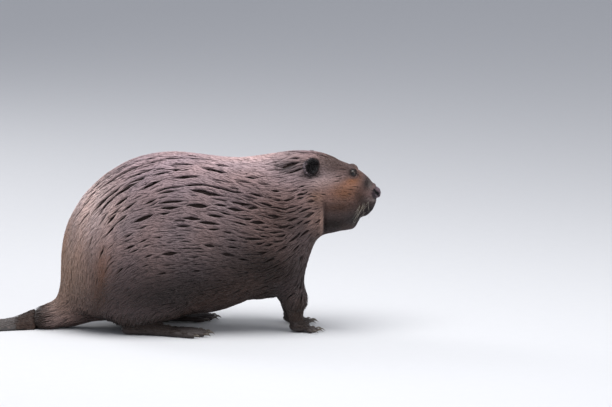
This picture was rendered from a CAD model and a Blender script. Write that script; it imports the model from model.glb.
"""A life-size beaver: one skin, a coat of mesh locks, the face, the feet and the tail.

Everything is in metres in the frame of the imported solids: +X to the nose, +Y to the animal's left,
+Z up, the floor at zero. Each operator makes one piece or one group of like pieces.
"""

import math

import bpy
import numpy as np
from bpy.props import FloatProperty, FloatVectorProperty, IntProperty, PointerProperty
from mathutils import Matrix, Vector
from mathutils.bvhtree import BVHTree
from mathutils.kdtree import KDTree


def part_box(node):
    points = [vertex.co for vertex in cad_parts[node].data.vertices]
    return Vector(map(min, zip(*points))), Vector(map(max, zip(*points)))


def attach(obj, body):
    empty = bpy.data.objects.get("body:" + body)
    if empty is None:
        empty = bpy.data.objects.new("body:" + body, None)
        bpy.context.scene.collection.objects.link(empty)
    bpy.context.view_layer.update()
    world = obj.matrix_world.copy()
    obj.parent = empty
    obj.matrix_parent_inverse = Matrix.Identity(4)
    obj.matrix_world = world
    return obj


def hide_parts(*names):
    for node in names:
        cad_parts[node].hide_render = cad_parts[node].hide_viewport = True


bl_info = {
    "name": "Beaver",
    "version": (1, 0, 0),
    "blender": (4, 5, 0),
    "location": "View3D > Sidebar > Beaver",
    "description": "Dresses the solids of a life-size beaver with skin, coat, face, feet and tail",
    "category": "Add Mesh",
}

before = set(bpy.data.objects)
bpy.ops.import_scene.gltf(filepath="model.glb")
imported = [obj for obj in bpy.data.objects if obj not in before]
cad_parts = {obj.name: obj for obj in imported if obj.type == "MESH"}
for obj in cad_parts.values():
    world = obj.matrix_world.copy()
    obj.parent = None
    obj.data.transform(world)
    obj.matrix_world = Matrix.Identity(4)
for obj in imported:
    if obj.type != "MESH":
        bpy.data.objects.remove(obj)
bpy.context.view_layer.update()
MM = 0.001
SIDES = (("right", -1), ("left", 1))


# ---------------------------------------------------------------- finishes


class Value:
    """A shader socket that takes part in sums: each sum adds its Math node."""

    def __init__(self, finish, socket):
        self.finish = finish
        self.socket = socket

    def math(self, operation, *others):
        made = self.finish.node("ShaderNodeMath", {"operation": operation}, dict(enumerate((self, *others))))
        return made.value(0)

    def __add__(self, other):
        return self.math("ADD", other)

    __radd__ = __add__

    def __sub__(self, other):
        return self.math("SUBTRACT", other)

    def __rsub__(self, other):
        return self.math("MULTIPLY", -1.0) + other

    def __mul__(self, other):
        return self.math("MULTIPLY", other)

    __rmul__ = __mul__

    def __truediv__(self, other):
        return self.math("DIVIDE", other)

    def __pow__(self, other):
        return self.math("POWER", other)


class Node:
    """A shader node whose outputs are read as values."""

    def __init__(self, finish, made):
        self.finish = finish
        self.made = made

    def value(self, output=0):
        return Value(self.finish, self.made.outputs[output])


class Finish:
    """A material that is written as Python expressions."""

    def __init__(self, name):
        self.material = bpy.data.materials.new(name)
        self.material.use_nodes = True
        self.tree = self.material.node_tree
        self.tree.nodes.clear()

    def node(self, kind, settings=None, sockets=None):
        made = self.tree.nodes.new(kind)
        for key, setting in (settings or {}).items():
            if key == "stops":
                while len(made.color_ramp.elements) < len(setting):
                    made.color_ramp.elements.new(1.0)
                for stop, (place, colour) in zip(made.color_ramp.elements, setting):
                    stop.position = place
                    stop.color = (*colour, 1.0)
            else:
                setattr(made, key, setting)
        for key, given in (sockets or {}).items():
            if isinstance(given, Value):
                self.tree.links.new(given.socket, made.inputs[key])
            else:
                made.inputs[key].default_value = given
        return Node(self, made)

    def place(self):
        return self.node("ShaderNodeTexCoord").value("Object")

    def scaled(self, vector, scale):
        return self.node("ShaderNodeMapping", {}, {"Vector": vector, "Scale": scale}).value()

    def noise(self, vector, scale, detail=3.0):
        sockets = {"Vector": vector, "Scale": scale, "Detail": detail}
        return self.node("ShaderNodeTexNoise", {}, sockets).value("Fac")

    def cells(self, vector, scale):
        return self.node("ShaderNodeTexVoronoi", {}, {"Vector": vector, "Scale": scale}).value("Distance")

    def colours(self, factor, *stops):
        return self.node("ShaderNodeValToRGB", {"stops": stops}, {0: factor}).value("Color")

    def tint(self):
        """The colour that tint() stored on the piece."""
        return self.node("ShaderNodeAttribute", {"attribute_name": "tint"}).value("Color")

    def mixed(self, factor, first, second, blend="MIX"):
        first = (*first, 1.0) if isinstance(first, tuple) else first
        second = (*second, 1.0) if isinstance(second, tuple) else second
        settings = {"data_type": "RGBA", "blend_type": blend}
        return self.node("ShaderNodeMix", settings, {0: factor, 6: first, 7: second}).value(2)

    def shaded(self, colour, shade):
        """The colour times a grey value."""
        grey = self.node("ShaderNodeCombineColor", {}, {0: shade, 1: shade, 2: shade}).value()
        return self.mixed(1.0, colour, grey, "MULTIPLY")

    def bump(self, height, distance, strength):
        sockets = {"Height": height, "Distance": distance, "Strength": strength}
        return self.node("ShaderNodeBump", {}, sockets).value()

    def surface(self, sockets):
        """Ends the material in one Principled shader with these sockets."""
        shader = self.node("ShaderNodeBsdfPrincipled", {}, sockets).value()
        self.node("ShaderNodeOutputMaterial", {}, {"Surface": shader})
        return self.material


def linear(colour):
    """A colour of 0 to 255 levels as Blender's linear floats."""
    levels = np.asarray(colour, float) / 255.0
    return np.where(levels <= 0.04045, levels / 12.92, ((levels + 0.055) / 1.055) ** 2.4)


# ---------------------------------------------------------------- modelling helpers


WEIGHT_STEPS = 10
TINY = 1e-9


def deselect():
    bpy.ops.object.select_all(action="DESELECT")


def pick(piece):
    deselect()
    piece.select_set(True)
    bpy.context.view_layer.objects.active = piece
    return piece


def added(label, mesh):
    """A mesh as an object of the scene."""
    piece = bpy.data.objects.new(label, mesh)
    bpy.context.collection.objects.link(piece)
    return piece


def shell(label, points, faces):
    """A new piece from its points and faces."""
    mesh = bpy.data.meshes.new(label)
    mesh.from_pydata(points, [], faces)
    return added(label, mesh)


def copy_of(label, *names):
    """One welded mesh from copies of CAD nodes, at their place."""
    deselect()
    for name in names:
        part = added(label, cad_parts[name].data.copy())
        part.select_set(True)
        bpy.context.view_layer.objects.active = part
    if len(names) > 1:
        bpy.ops.object.join()
    piece = bpy.context.view_layer.objects.active
    piece.data.materials.clear()
    bpy.ops.object.mode_set(mode="EDIT")
    bpy.ops.mesh.select_all(action="SELECT")
    bpy.ops.mesh.remove_doubles(threshold=0.01 * MM)
    bpy.ops.object.mode_set(mode="OBJECT")
    piece.name = label
    return piece


def modify(piece, kind, **settings):
    """Adds a modifier with these settings and applies it."""
    pick(piece)
    modifier = piece.modifiers.new(kind.title(), kind)
    for key, setting in settings.items():
        setattr(modifier, key, setting)
    bpy.ops.object.modifier_apply(modifier=modifier.name)
    return piece


def remesh(piece, grain, rounds):
    """Lays even faces of one size over a piece and smooths it so many times."""
    modify(piece, "REMESH", mode="VOXEL", voxel_size=grain)
    modify(piece, "SMOOTH", factor=0.5, iterations=rounds)


def smooth_where(piece, weights, rounds):
    """Smooths a piece by one weight for each vertex, rounded to tenths."""
    made = piece.vertex_groups.new(name="smoothed")
    steps = np.round(np.clip(weights, 0, 1) * WEIGHT_STEPS).astype(int)
    for step in range(1, WEIGHT_STEPS + 1):
        made.add(np.flatnonzero(steps == step).tolist(), step / WEIGHT_STEPS, "REPLACE")
    modify(piece, "SMOOTH", factor=0.5, iterations=rounds, vertex_group=made.name)
    piece.vertex_groups.clear()


def column(items, name, width, kind=np.float32):
    found = np.empty(len(items) * width, kind)
    items.foreach_get(name, found)
    return found.reshape(-1, width)


def places(piece):
    return column(piece.data.vertices, "co", 3).astype(float)


def normals(piece):
    return column(piece.data.vertices, "normal", 3).astype(float)


def move(piece, points):
    piece.data.vertices.foreach_set("co", np.asarray(points, np.float32).ravel())
    piece.data.update()


def select_near(piece, chosen):
    """Selects the faces all of whose corners are among the chosen vertices."""
    mesh = piece.data
    for kind in (mesh.vertices, mesh.edges):
        kind.foreach_set("select", np.zeros(len(kind), bool))
    corner = column(mesh.loops, "vertex_index", 1, np.int32).ravel()
    start = column(mesh.polygons, "loop_start", 1, np.int32).ravel()
    mesh.polygons.foreach_set("select", np.logical_and.reduceat(chosen[corner], start))


def edit(piece, *steps):
    """Runs mesh operators in edit mode: each step is an operator and its settings."""
    pick(piece)
    bpy.ops.object.mode_set(mode="EDIT")
    for operator, settings in steps:
        operator(**settings)
    bpy.ops.object.mode_set(mode="OBJECT")
    return piece


def tint(piece, colours):
    """Stores one colour for each vertex, as the attribute that the finishes read."""
    layer = piece.data.color_attributes.new("tint", "FLOAT_COLOR", "POINT")
    rgba = np.ones((len(piece.data.vertices), 4), np.float32)
    rgba[:, :3] = colours
    layer.data.foreach_set("color", rgba.ravel())


def settle(piece, slot, material, *replaced):
    """Ends a piece: its finish, its slot, its body and the nodes that it stands for."""
    piece.data.materials.clear()
    piece.data.materials.append(material)
    piece.data.polygons.foreach_set("use_smooth", np.ones(len(piece.data.polygons), bool))
    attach(piece, "root")
    if replaced:
        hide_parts(*replaced)
    return piece


def ease(value, low, high):
    """0 up to low, 1 from high on, and smooth between."""
    t = np.clip((np.asarray(value, float) - low) / (high - low), 0, 1)
    return t * t * (3 - 2 * t)


def fade(value, low, high):
    """1 up to low, 0 from high on, and smooth between."""
    return ease(-value, -high, -low)


def bell(value, reach):
    """1 at nothing, falling away on both sides over the reach."""
    return np.exp(-((value / reach) ** 2))


def unit(vectors, least=0.0):
    """The vectors at length one; with a least length added, none can divide by nothing."""
    return vectors / (np.linalg.norm(vectors, axis=1)[:, None] + least)


def along_skin(lie, facing):
    """Unit directions along the skin, from directions that may leave it."""
    return unit(lie - facing * (lie * facing).sum(1)[:, None], TINY)


def blend(share, first, second):
    return first + (second - first) * share


def mix(share, first, second):
    """Blends vectors or colours, one share for each."""
    return blend(np.asarray(share)[:, None], first, second)


# ---------------------------------------------------------------- landmarks


def middle(node):
    low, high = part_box(node)
    return (low + high) / 2


EYE = middle("eye_left")
EYE_RADIUS = (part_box("eye_left")[1].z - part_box("eye_left")[0].z) / 2
EAR = middle("ear_left")
NOSE_LOW, NOSE_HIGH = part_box("nose")
NOSE = (NOSE_LOW + NOSE_HIGH) / 2
SNOUT_X = NOSE_LOW.x
PADDLE_LOW, PADDLE_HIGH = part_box("tail_paddle")
LEGS = ("hindleg_right", "hindleg_left", "foreleg_right", "foreleg_left")
FLESH = ("head", "neck", "trunk", "tail_root", *LEGS)


def on_side(place, side):
    """A place of the left, on the side asked for."""
    return np.array((place.x, place.y * side, place.z))


# ---------------------------------------------------------------- how the coat lies, and its colours

# Where the hair lies how, seen from the side: (x, z) in mm, and the degrees by which it climbs on its
# way back from the nose. It falls over the rump, arches over the flank and dives behind the cheek.
LIE = (
    (-168, 66, -48), (-185, 50, -20), (-205, 30, -8), (-230, 20, -2), (-156, 182, -88),
    (-118, 257, -58), (-125, 128, -86), (-89, 146, -80), (-74, 222, -68), (-59, 291, -31),
    (-47, 130, -42), (-43, 235, -42), (-28, 171, -26), (-24, 322, -18), (-2, 227, -24), (12, 279, -29),
    (42, 318, -15), (42, 165, -6), (65, 333, -7), (78, 295, -8), (59, 252, -4), (92, 114, -4),
    (126, 272, 14), (112, 222, 6), (158, 302, 20), (158, 246, 12), (158, 165, 8), (209, 323, -2),
    (209, 260, 12), (238, 229, 8), (276, 314, -32), (291, 340, -8), (299, 230, -23), (302, 258, -25),
    (291, 164, -25), (314, 150, -65), (333, 336, 16), (329, 266, 14), (376, 314, 4), (367, 295, -18),
    (386, 270, 2), (358, 202, -6), (401, 304, 28), (424, 286, 38), (414, 233, -35),
)

# Markings of the coat, seen from the side: (x, z) and reach (x, z) in mm, colour, strength.
MARKS = (
    ((60, 340), (270, 60), (180, 155, 160), 0.9),  # pale sheen along the back
    ((-110, 262), (62, 70), (226, 197, 190), 0.9),  # palest over the rump
    ((215, 330), (80, 26), (222, 190, 188), 0.9),  # and along the neck
    ((-160, 120), (60, 90), (204, 166, 142), 0.9),  # tan down the rump
    ((-75, 124), (15, 48), (124, 84, 62), 0.75),  # rusty stripe before the tail
    ((-86, 78), (14, 40), (118, 80, 60), 0.75),
    ((80, 85), (260, 78), (34, 24, 22), 0.97),  # dark lower flank and belly
    ((240, 135), (110, 70), (32, 22, 19), 0.97),
    ((200, 264), (46, 30), (112, 92, 93), 0.6),
    ((262, 226), (60, 48), (80, 57, 50), 0.85),
    ((346, 322), (62, 34), (92, 73, 67), 0.93),  # crown and forehead
    ((369, 312), (24, 11), (78, 58, 52), 0.7),
    ((308, 333), (20, 8), (166, 140, 144), 0.6),  # pale above the ear
    ((337, 286), (28, 13), (172, 147, 143), 0.9),  # grey pink below it
    ((324, 257), (16, 14), (122, 94, 80), 0.85),
    ((376, 264), (40, 24), (122, 80, 56), 0.95),  # rusty cheek
    ((387, 279), (18, 8), (158, 110, 84), 0.6),
    ((368, 238), (42, 13), (72, 45, 31), 0.92),
    ((404, 254), (11, 15), (60, 38, 28), 0.85),  # dark before it
    ((392, 286), (12, 6), (150, 98, 62), 0.7),  # warm before and below the eye
    ((405, 295), (7, 9), (104, 72, 55), 0.7),
    ((401, 306), (6, 6), (136, 100, 84), 0.6),
    ((391, 301), (11, 11), (60, 46, 41), 0.7),  # dark round the eye
    ((358, 206), (60, 28), (24, 15, 10), 0.97),  # dark jaw and throat
    ((382, 200), (12, 8), (80, 62, 54), 0.6),
    ((418, 279), (11, 13), (33, 28, 26), 0.92),  # grey over the muzzle
    ((424, 275), (3, 6), (126, 118, 114), 0.5),
    ((424, 229), (24, 22), (21, 16, 17), 0.98),  # near black lips and chin
    ((398, 213), (24, 17), (23, 17, 17), 0.95),
    ((413, 246), (8, 8), (52, 41, 38), 0.8),
    ((407, 235), (6, 4), (90, 72, 54), 0.6),
    ((432, 247), (9, 2), (150, 136, 132), 0.7),  # pale edge of the lip
    ((421, 251), (6, 2), (130, 116, 112), 0.5),
    ((272, 313), (24, 11), (26, 19, 20), 0.93),  # dark behind and below the ear
    ((317, 297), (15, 5), (18, 13, 14), 0.95),
    ((318, 214), (12, 26), (132, 105, 97), 0.75),  # pale fold of the neck
    ((331, 216), (4, 25), (164, 132, 120), 0.85),
)
COAT_BASE = (126, 106, 106)
UNDERFUR = (46, 33, 30)
BELLY_COAT = (66, 50, 44)
LEG_COAT = (58, 44, 38)

# Between which places the coat changes, in metres.
FACE_X = (0.285, 0.36)
FACE_Z = (0.12, 0.2)
SNOUT_LONG = 35 * MM
FORELEG_X = (0.19, 0.22)
FORELEG_Z = (0.05, 0.1)
HINDLEG_Y = (0.045, 0.06)
HINDLEG_Z = (0.03, 0.06)
TAIL_ROOT_X = (-0.19, -0.165)
TAIL_ROOT_Z = (0.07, 0.1)

# The coat's depth, and the length and width of its locks, on each part of the animal.
COAT_DEPTH = {"body": 8.0 * MM, "face": 2.0 * MM, "snout": 1.2 * MM, "leg": 2.2 * MM}
LOCK_LENGTH = {"body": 46 * MM, "face": 11 * MM, "snout": 5 * MM, "leg": 15 * MM, "eye": 3.2 * MM}
LOCK_WIDTH = {"body": 3.4 * MM, "face": 1.45 * MM, "snout": 0.9 * MM, "leg": 2.0 * MM, "eye": 0.85 * MM}


def side_weight(points, place, reach):
    """1 at a place in the side view, falling away over its reach; places are in mm."""
    x, z = (np.asarray(place) * MM)[:2]
    rx, rz = np.asarray(reach) * MM
    return np.exp(-(((points[:, 0] - x) / rx) ** 2) - ((points[:, 2] - z) / rz) ** 2)


def face_share(points):
    """0 on the body, 1 on the face before the ears."""
    return ease(points[:, 0], *FACE_X) * ease(points[:, 2], *FACE_Z)


def snout_share(points):
    return ease(points[:, 0], SNOUT_X - SNOUT_LONG, SNOUT_X)


def eye_share(points, reach):
    """1 at the eyes, falling away over the reach, in metres."""
    both = np.stack([points[:, 0], np.abs(points[:, 1]), points[:, 2]], 1)
    return np.exp(-((np.linalg.norm(both - np.array(EYE), axis=1) / reach) ** 4))


def leg_share(points):
    """1 on the lower legs and the root of the tail, where the coat is short."""
    fore = fade(points[:, 2], *FORELEG_Z) * ease(points[:, 0], *FORELEG_X)
    hind = fade(points[:, 2], *HINDLEG_Z) * ease(np.abs(points[:, 1]), *HINDLEG_Y)
    tail = fade(points[:, 0], *TAIL_ROOT_X) * fade(points[:, 2], *TAIL_ROOT_Z)
    return np.maximum(np.maximum(fore, hind), tail)


def over_body(points, sizes):
    """One of the tables of sizes, blended over the animal."""
    size = blend(face_share(points), sizes["body"], sizes["face"])
    size = blend(snout_share(points), size, sizes["snout"])
    size = blend(leg_share(points), size, sizes["leg"])
    return blend(eye_share(points, 12 * MM), size, sizes["eye"]) if "eye" in sizes else size


def coat_depth(points):
    """How thick the coat lies, in metres."""
    return over_body(points, COAT_DEPTH)


def lock_size(points):
    """Length and width of a lock of hair, in metres."""
    return over_body(points, LOCK_LENGTH), over_body(points, LOCK_WIDTH)


def coat_lie(points, facing):
    """Unit directions along the skin in which the hair lies."""
    guides = np.array(LIE, float)
    angle = np.radians(guides[:, 2])
    away2 = (points[:, None, 0] - guides[:, 0] * MM) ** 2 + (points[:, None, 2] - guides[:, 1] * MM) ** 2
    pull = 1 / (away2 + 0.012**2) ** 2
    back = (pull * -np.cos(angle)).sum(1)
    rise = (pull * np.sin(angle)).sum(1)
    lie = unit(np.stack([back, np.zeros(len(points)), rise], 1))
    lie = mix(0.8 * snout_share(points), lie, unit(points - np.array(NOSE), TINY))
    both = points * (1, 0, 1) + np.abs(points) * (0, 1, 0) - np.array(EYE)
    away = both * np.stack([np.ones(len(points)), np.sign(points[:, 1]), np.ones(len(points))], 1)
    lie = lie + 1.5 * eye_share(points, 11 * MM)[:, None] * unit(away, TINY)
    down = np.array([-0.25, 0, -1.0])
    lie = mix(leg_share(points) * ease(points[:, 0], -0.16, -0.14), lie, np.broadcast_to(down, lie.shape))
    stern = (lie * facing).sum(1)
    return along_skin(lie + np.abs(stern)[:, None] ** 4 * np.array([0, 0, -0.8]), facing)


def waves(points, size, seed):
    """Smooth pseudo-random values from -1 to 1 that change over about `size` metres."""
    draw = np.random.default_rng(seed)
    total = np.zeros(len(points))
    for _ in range(6):
        heading = draw.normal(size=3)
        heading *= 2 * math.pi / (size * np.linalg.norm(heading))
        total += np.sin(points @ heading * draw.uniform(0.6, 1.6) + draw.uniform(0, 2 * math.pi))
    return np.clip(total / 3.2, -1, 1)


def coat_colour(points, facing):
    """The coat's colour at each point, linear."""
    colour = np.broadcast_to(linear(COAT_BASE), (len(points), 3))
    for place, reach, shade, strength in MARKS:
        colour = mix(strength * side_weight(points, place, reach), colour, linear(shade))
    under = ease(-facing[:, 2], 0.2, 0.9) * (1 - face_share(points))
    colour = mix(0.8 * under, colour, linear(BELLY_COAT))
    colour = mix(leg_share(points), colour, linear(LEG_COAT))
    warm = waves(points, 0.07, 3)[:, None]
    cool = waves(points, 0.025, 8)[:, None]
    return colour * (1 + 0.08 * warm + 0.05 * cool) * (1 + 0.04 * warm * np.array([1.0, 0.0, -1.0]))


# ---------------------------------------------------------------- settings


class StageSettings(bpy.types.PropertyGroup):
    """The floor, the light and the camera."""

    view_height: FloatProperty(
        name="Height of view", description="Degrees by which the camera looks down", default=8.0
    )
    distance: FloatProperty(name="Distance", description="Camera to model", default=12.0, unit="LENGTH")
    pixel: FloatProperty(name="Scale", description="Metres of the model in one pixel", default=1.9 * MM)
    floor: FloatVectorProperty(
        name="Floor", description="Floor colour", default=(0.6, 0.6, 0.61), subtype="COLOR"
    )
    light: FloatProperty(name="Light", description="Power of the overhead light, in watts", default=84.0)


class CoatSettings(bpy.types.PropertyGroup):
    """The skin and the coat."""

    voxel: FloatProperty(
        name="Skin grain", description="Edge of the skin's faces", default=3.4 * MM, unit="LENGTH"
    )
    fill: FloatProperty(name="Fill", description="Locks in each square of their own width", default=0.9)
    stray: FloatProperty(name="Stray", description="Degrees that a lock may turn from its lie", default=2.5)
    clumping: FloatProperty(name="Clumping", description="How far wet tips run together", default=0.22)
    seed: IntProperty(name="Seed", description="Seed of the random draws", default=11)


class FaceSettings(bpy.types.PropertyGroup):
    """The whiskers."""

    whiskers: IntProperty(name="Whiskers", description="Whiskers on each side", default=14)
    whisker_length: FloatProperty(
        name="Whisker length", description="Longest whisker", default=52 * MM, unit="LENGTH"
    )


# ---------------------------------------------------------------- stage

FRAME_PIXELS = (612, 407)
ANCHOR_PIXEL = (220, 294)  # this point of the frame shows ANCHOR_PLACE of the model
ANCHOR_PLACE = (0.139, 0.0, 0.064)
FLOOR_SIZE = 60
SKY_COLOUR = (0.86, 0.9, 1.0, 1.0)
SKY_STRENGTH = 0.56
# Each lamp's name, place, size, share of the light's power, and the place that it lights.
LAMPS = (
    ("overhead", (0.1, -0.5, 2.6), 2.6, 1.0, (0, 0, 0.15)),
    ("fill", (2.6, -2.4, 1.2), 1.8, 0.35, (0.1, 0, 0.2)),
    ("rim", (-2.2, 2.4, 1.8), 1.6, 0.5, (0, 0, 0.2)),
)


class BEAVER_OT_stage(bpy.types.Operator):
    """A pale floor, soft studio light and the camera."""

    bl_idname = "beaver.stage"
    bl_label = "Stage"

    def execute(self, context):
        settings = context.scene.beaver_stage
        deselect()
        bpy.ops.mesh.primitive_plane_add(size=FLOOR_SIZE, location=(0, 0, 0))
        floor = context.object
        floor.name = "floor"
        bare = Finish("floor_paper")
        grain = bare.noise(bare.place(), 40.0)
        paper = bare.mixed(grain, tuple(settings.floor), tuple(c * 0.97 for c in settings.floor))
        floor.data.materials.append(bare.surface({"Base Color": paper, "Roughness": 0.9}))

        world = bpy.data.worlds.new("studio")
        world.use_nodes = True
        sky = world.node_tree.nodes["Background"]
        sky.inputs["Color"].default_value = SKY_COLOUR
        sky.inputs["Strength"].default_value = SKY_STRENGTH
        context.scene.world = world
        for name, place, size, share, aim in LAMPS:
            self.lamp(context, name, place, size, settings.light * share, aim)
        context.scene.view_settings.view_transform = "Standard"
        self.camera(context, settings)
        return {"FINISHED"}

    def lamp(self, context, name, place, size, power, aim):
        bpy.ops.object.light_add(type="AREA", location=place)
        lamp = context.object
        lamp.name = name
        lamp.data.shape = "DISK"
        lamp.data.size = size
        lamp.data.energy = power
        lamp.rotation_euler = (Vector(aim) - Vector(place)).to_track_quat("-Z", "Y").to_euler()

    def camera(self, context, settings):
        tilt = math.radians(settings.view_height)
        wide, high = FRAME_PIXELS
        right = (wide / 2 - ANCHOR_PIXEL[0]) * settings.pixel
        up = (ANCHOR_PIXEL[1] - high / 2) * settings.pixel
        aim = Vector(ANCHOR_PLACE) + Vector((right, up * math.sin(tilt), up * math.cos(tilt)))
        back = Vector((0, -math.cos(tilt), math.sin(tilt)))
        bpy.ops.object.camera_add(location=aim + back * settings.distance)
        camera = context.object
        camera.rotation_euler = (-back).to_track_quat("-Z", "Y").to_euler()
        camera.data.lens = camera.data.sensor_width * settings.distance / (wide * settings.pixel)
        camera.data.clip_end = 200
        context.scene.camera = camera


# ---------------------------------------------------------------- skin


class BEAVER_OT_skin(bpy.types.Operator):
    """One skin over all the flesh, inside the coat, with the folds of the face."""

    bl_idname = "beaver.skin"
    bl_label = "Skin"

    def execute(self, context):
        settings = context.scene.beaver_coat
        skin = copy_of("skin", *FLESH, "nose")
        for foot in ("hindfoot", "forefoot"):
            for side, _ in SIDES:
                self.ankle(skin, f"{foot}_{side}")
        modify(skin, "REMESH", mode="VOXEL", voxel_size=settings.voxel, adaptivity=0.0)
        points = places(skin)
        body = 1 - 0.8 * ease(points[:, 0], 0.25, 0.33) * ease(points[:, 2], 0.13, 0.19)
        body *= 1 - ease(points[:, 0], 0.38, 0.41)
        body *= 1 - 0.8 * leg_share(points)
        modify(skin, "SMOOTH", factor=0.5, iterations=3)
        smooth_where(skin, body, 60)
        points = places(skin)
        move(skin, points - normals(skin) * coat_depth(points)[:, None])
        self.refine(skin)
        self.sculpt(skin)
        points, facing = places(skin), normals(skin)
        colour = coat_colour(points, facing)
        bare = np.maximum(face_share(points), leg_share(points))
        colour = mix(bare, linear(UNDERFUR), colour * 0.4)
        colour = mix(leathery(points), colour, linear(MUZZLE_SKIN))
        in_nostril = 1 - ease(distance_to_curve(points, *NOSTRIL), 3.0 * MM, 4.4 * MM)
        tint(skin, mix(in_nostril, colour, linear(NOSTRIL_BLACK)))
        settle(skin, "coat", hide_finish(), *FLESH)
        return {"FINISHED"}

    def ankle(self, skin, node):
        """Adds the upper part of a foot, so that the leg runs on into it."""
        stub = copy_of("stub", node)
        cut = {"plane_co": (0, 0, STUB_Z), "plane_no": (0, 0, 1), "clear_inner": True, "use_fill": True}
        select = (bpy.ops.mesh.select_all, {"action": "SELECT"})
        edit(stub, select, (bpy.ops.mesh.bisect, cut))
        deselect()
        stub.select_set(True)
        skin.select_set(True)
        bpy.context.view_layer.objects.active = skin
        bpy.ops.object.join()

    def refine(self, skin):
        """Finer faces round the eyes, on the snout and along the lips."""
        for reach in (1.0, 0.7):
            points = places(skin)
            near = (points[:, 0] > SNOUT_X - 34 * MM * reach) & (points[:, 2] > 0.19)
            for _, side in SIDES:
                near |= np.linalg.norm(points - on_side(EYE, side), axis=1) < 17 * MM * reach
            select_near(skin, near)
            edit(skin, (bpy.ops.mesh.subdivide, {"number_cuts": 1, "smoothness": 0.0}))

    def sculpt(self, skin):
        """Brow, eye hollow, lips, the fold over the muzzle and the dent under the nose."""
        for _, side in SIDES:
            self.wrap_eye(skin, side)
        points, facing = places(skin), normals(skin)
        lift = np.zeros(len(points))
        for start, bend, end, reach, deep in LIP_LINES:
            lift -= deep * MM * bell(distance_to_curve(points, start, bend, end), reach * MM)
        x, y, z = points[:, 0], np.abs(points[:, 1]), points[:, 2]
        pad = np.linalg.norm((points - np.array(NOSE)) / np.array((NOSE_HIGH - NOSE_LOW) / 2), axis=1)
        sleeve = bell(pad - 1.1, 0.32) * (1 - ease(x, NOSE.x - 0.002, NOSE.x + 0.004))
        lift += 3.0 * MM * sleeve * (0.3 + 0.7 * ease(z, NOSE.z - 0.008, NOSE.z + 0.002))
        lift += 0.5 * MM * side_weight(points, *BROW) * (1 - ease(y, 0.022, 0.034))
        behind = x - RUFF_X * MM
        ruff = ease(z, 0.168, 0.19) * (1 - ease(z, 0.235, 0.26)) * ease(y, 0.02, 0.045)
        lift += ruff * MM * (4.0 * bell(behind + 0.007, 0.008) - 7 * bell(behind - 0.006, 0.005))
        move(skin, points + facing * lift[:, None])

    def wrap_eye(self, skin, side):
        """Closes the skin over an eyeball as far as its lids, with a soft mound round them."""
        points = places(skin)
        centre, axis, ahead, above = eye_frame(side)
        off = points - centre
        right, up, high = off @ ahead, off @ above, off @ axis
        away = np.hypot(right, up)
        near = (away < 16 * MM) & (np.abs(high) < 14 * MM)
        ring = near & (away > 9.5 * MM)
        terms = np.stack([np.ones(len(points)), right, up, right * right, right * up, up * up], 1)
        level = terms @ np.linalg.lstsq(terms[ring], high[ring], rcond=None)[0]
        opening = lid_opening(np.arctan2(up, right))
        radius = EYE_RADIUS + LID
        edge, rim = radius * np.sin(opening), radius * np.cos(opening)
        mound = level + (rim - level) * (1 - ease(away - edge, 0, 6 * MM))
        share = (1 - ease(away, 9 * MM, 13 * MM)) * near * (away > edge)
        move(skin, points + axis * (share * (mound - high))[:, None])


def eye_frame(side):
    """The middle of an eye, the way it looks, and the ways ahead and up across it."""
    axis = np.array(EYE_AXIS) * (1, side, 1)
    axis /= np.linalg.norm(axis)
    ahead = np.array((1, 0, 0)) - axis * axis[0]
    ahead /= np.linalg.norm(ahead)
    return on_side(EYE, side), axis, ahead, np.cross(axis, ahead) * -side


def lid_opening(turn):
    """The angle at the eye's middle from the way it looks to the edge of its lids, all the way round."""
    wide, high = np.radians(LID_ANGLES)
    return 1 / np.hypot(np.cos(turn) / wide, np.sin(turn) / high)


EYE_AXIS = (0.3, 1.0, 0.36)  # the way the left eye looks
LID_ANGLES = (60, 54)  # half the opening of the lids, along and up, in degrees
LID = 0.6 * MM  # from the eyeball to the middle of its lids
BROW = ((390, 309), (17, 12))  # place and reach in the side view, in mm
RUFF_X = 331  # mm: the neck's loose skin folds over the jaw here
STUB_Z = 12 * MM  # the legs run on into the feet above this
MUZZLE_SKIN = (46, 35, 39)
NOSTRIL_BLACK = (6, 5, 5)
BARE_NOSE = ((432, 0, 258), (17, 23, 12))  # place and reach of the hairless muzzle tip, in mm
NOSTRIL = ((441.5, 8, 253), (439, 14, 259), (431, 14.5, 265))  # the comma's bend, in mm, on the left

# Folds of the face as bends through three places (x, y, z), in mm, y to either side; then how wide
# and how deep each fold is.
LIP_LINES = (
    ((432, 0, 238), (426, 16, 224), (398, 27, 222), 3.2, 3.0),  # mouth
    ((436, 0, 250), (433, 0, 242), (431, 0, 232), 1.8, 1.8),  # cleft of the upper lip
    ((430, 15, 266), (424, 22, 262), (416, 26, 252), 3.0, 1.0),  # behind the nose pad
    ((441, 3, 248), (434, 16, 250), (419, 22, 257), 1.5, 1.8),  # below it
)


def distance_to_curve(points, start, bend, end):
    """How far points are, on either side of the animal, from a bend through three places in mm."""
    mirrored = points.copy()
    mirrored[:, 1] = np.abs(mirrored[:, 1])
    start, bend, end = (np.array(place) * MM for place in (start, bend, end))
    nearest = np.full(len(points), 1.0)
    for t in np.linspace(0, 1, 24):
        place = start * (1 - t) ** 2 + bend * 2 * t * (1 - t) + end * t * t
        nearest = np.minimum(nearest, np.linalg.norm(mirrored - place, axis=1))
    return nearest


def hide_finish():
    """Dark, dense underfur and skin, seen where the coat parts."""
    hide = Finish("underfur")
    place = hide.place()
    fuzz = hide.noise(place, 900.0, 4.0)
    clots = hide.noise(place, 120.0)
    colour = hide.shaded(hide.tint(), 0.7 + 0.45 * fuzz * clots * 2.0)
    normal = hide.bump(fuzz + clots * 0.5, 1.2 * MM, 0.6)
    sockets = {"Base Color": colour, "Roughness": 0.62, "Normal": normal, "Specular IOR Level": 0.2}
    return hide.surface(sockets)


# ---------------------------------------------------------------- coat


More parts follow.
